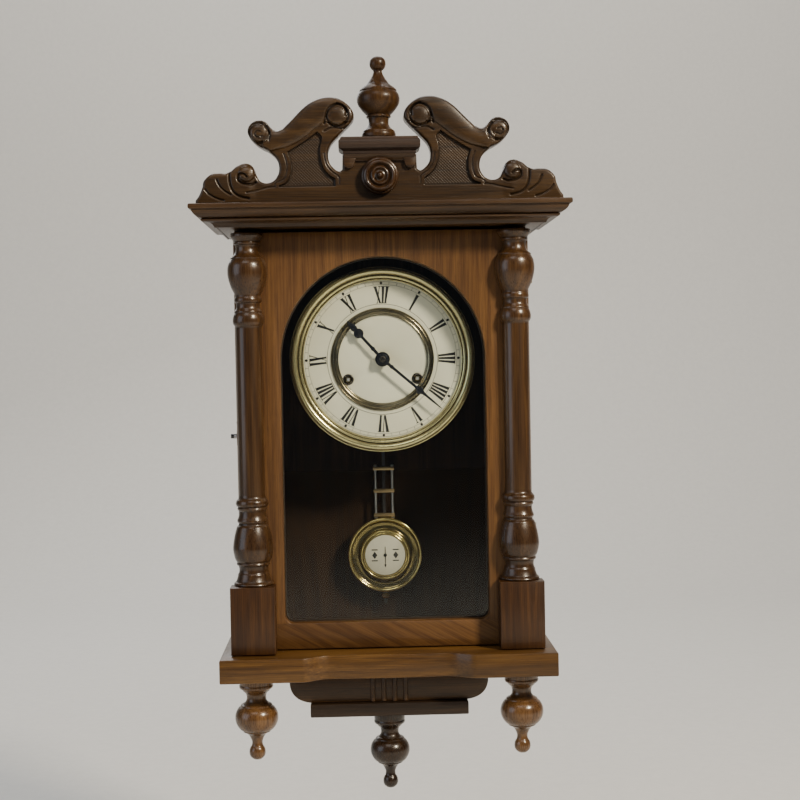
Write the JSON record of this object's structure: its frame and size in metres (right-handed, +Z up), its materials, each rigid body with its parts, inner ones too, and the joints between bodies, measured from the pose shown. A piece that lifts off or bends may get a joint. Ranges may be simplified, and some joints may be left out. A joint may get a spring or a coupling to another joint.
{
  "type": "pendulum wall clock",
  "caption": "Spring-driven pendulum wall clock: carved wooden case, glazed arched door with turned columns, roman dial, hands and a swinging brass bob.",
  "frame": {"origin": "rear face of the back board, on the axis of the hands", "axes": "+Z up, +Y into the wall, so the dial faces -Y; +X to the right seen from the front"},
  "size_m": [0.3456, 0.1588, 0.6824],
  "materials": {
    "walnut": "satin lacquer",
    "dark_wood": "satin lacquer",
    "red_wood": "satin lacquer",
    "veneer": "satin lacquer",
    "back_panel": "matt stain",
    "glass": "clear",
    "brass": "polished and lacquered",
    "steel": "plain",
    "black_steel": "black lacquer",
    "dial": "cream enamel paint",
    "bob_white": "white enamel paint"
  },
  "bodies": {
    "case": {"back_board": "back_panel", "hanger_plate": "steel", "case_side_left": "veneer", "case_side_right": "veneer", "case_top_board": "walnut", "shelf_board": "veneer", "cornice_front": "walnut", "cornice_return_right": "walnut", "cornice_return_left": "walnut", "crest_board": "walnut", "crest_cap_block": "dark_wood", "crest_boss": "walnut", "top_finial": "walnut", "apron": "walnut", "apron_ledge": "dark_wood", "drop_finial_left": "walnut", "drop_finial_right": "walnut", "drop_finial_centre": "walnut", "case_hinge_upper": "brass", "case_hinge_lower": "brass", "hook_screw": "black_steel", "dial_plate": "dial", "dial_bezel": "brass", "dial_inner_ring": "brass", "movement_back_plate": "brass", "movement_front_plate": "brass", "movement_bracket": "steel", "suspension_post": "brass", "gong_coil": "black_steel", "gong_block": "black_steel"},
    "door": {"door_panel": "veneer", "door_glass": "glass", "glass_bead": "dark_wood", "column_right": "red_wood", "column_left": "red_wood", "plinth_block_right": "red_wood", "plinth_block_left": "red_wood", "catch_pin": "steel", "door_hinge_upper": "brass", "door_hinge_lower": "brass"},
    "hook": {"door_hook": "black_steel"},
    "minute": {"minute_hand": "black_steel", "hand_nut": "brass", "cannon_pinion": "brass", "centre_wheel": "brass"},
    "hour": {"hour_hand": "black_steel", "hour_wheel": "brass"},
    "motion_wheel": {"minute_wheel": "brass"},
    "escape": {"escape_wheel": "brass"},
    "anchor": {"anchor": "steel"},
    "pendulum": {"suspension_spring": "steel", "pendulum_rod": "steel", "pendulum_grid": "brass", "bob_shell": "brass", "bob_face": "bob_white", "rating_nut": "brass"},
    "time_arbor": {"barrel_time": "brass"},
    "strike_arbor": {"barrel_strike": "brass"},
    "hammer": {"strike_hammer": "steel"}
  },
  "joints": [
    {"name": "door_swing", "type": "hinge", "parent": "case", "child": "door", "pos_m": [0.1399, -0.09525, 0], "axis": [0, 0, 1], "range_deg": [0, 110]},
    {"name": "hook_turn", "type": "hinge", "parent": "case", "child": "hook", "pos_m": [-0.138, -0.088, -0.07], "axis": [1, 0, 0], "range_deg": [0, 90]},
    {"name": "minute_turn", "type": "hinge", "parent": "case", "child": "minute", "pos_m": [0, -0.08, 0], "axis": [0, 1, 0], "continuous": true},
    {"name": "hour_turn", "type": "hinge", "parent": "case", "child": "hour", "pos_m": [0, -0.08, 0], "axis": [0, 1, 0], "continuous": true},
    {"name": "motion_turn", "type": "hinge", "parent": "case", "child": "motion_wheel", "pos_m": [0, -0.07, 0.0183], "axis": [0, 1, 0], "continuous": true},
    {"name": "escape_turn", "type": "hinge", "parent": "case", "child": "escape", "pos_m": [0, -0.05, 0.019], "axis": [0, 1, 0], "continuous": true},
    {"name": "pendulum_swing", "type": "hinge", "parent": "case", "child": "pendulum", "pos_m": [0, -0.02, 0.036], "axis": [0, 1, 0], "range_deg": [-4, 4]},
    {"name": "anchor_rock", "type": "hinge", "parent": "case", "child": "anchor", "pos_m": [0, -0.05, 0.036], "axis": [0, 1, 0], "range_deg": [-4, 4]},
    {"name": "wind_time", "type": "hinge", "parent": "case", "child": "time_arbor", "pos_m": [0.0328, -0.08, -0.0188], "axis": [0, 1, 0], "continuous": true},
    {"name": "wind_strike", "type": "hinge", "parent": "case", "child": "strike_arbor", "pos_m": [-0.0328, -0.08, -0.0188], "axis": [0, 1, 0], "continuous": true},
    {"name": "hammer_lift", "type": "hinge", "parent": "case", "child": "hammer", "pos_m": [0.05, -0.03, 0.04], "axis": [0, -1, 0], "range_deg": [0, 6]}
  ],
  "couplings": [
    {"joint": "hour_turn", "follows": "minute_turn", "ratio": 0.083333},
    {"joint": "motion_turn", "follows": "minute_turn", "ratio": -0.33333},
    {"joint": "anchor_rock", "follows": "pendulum_swing", "ratio": 1}
  ]
}
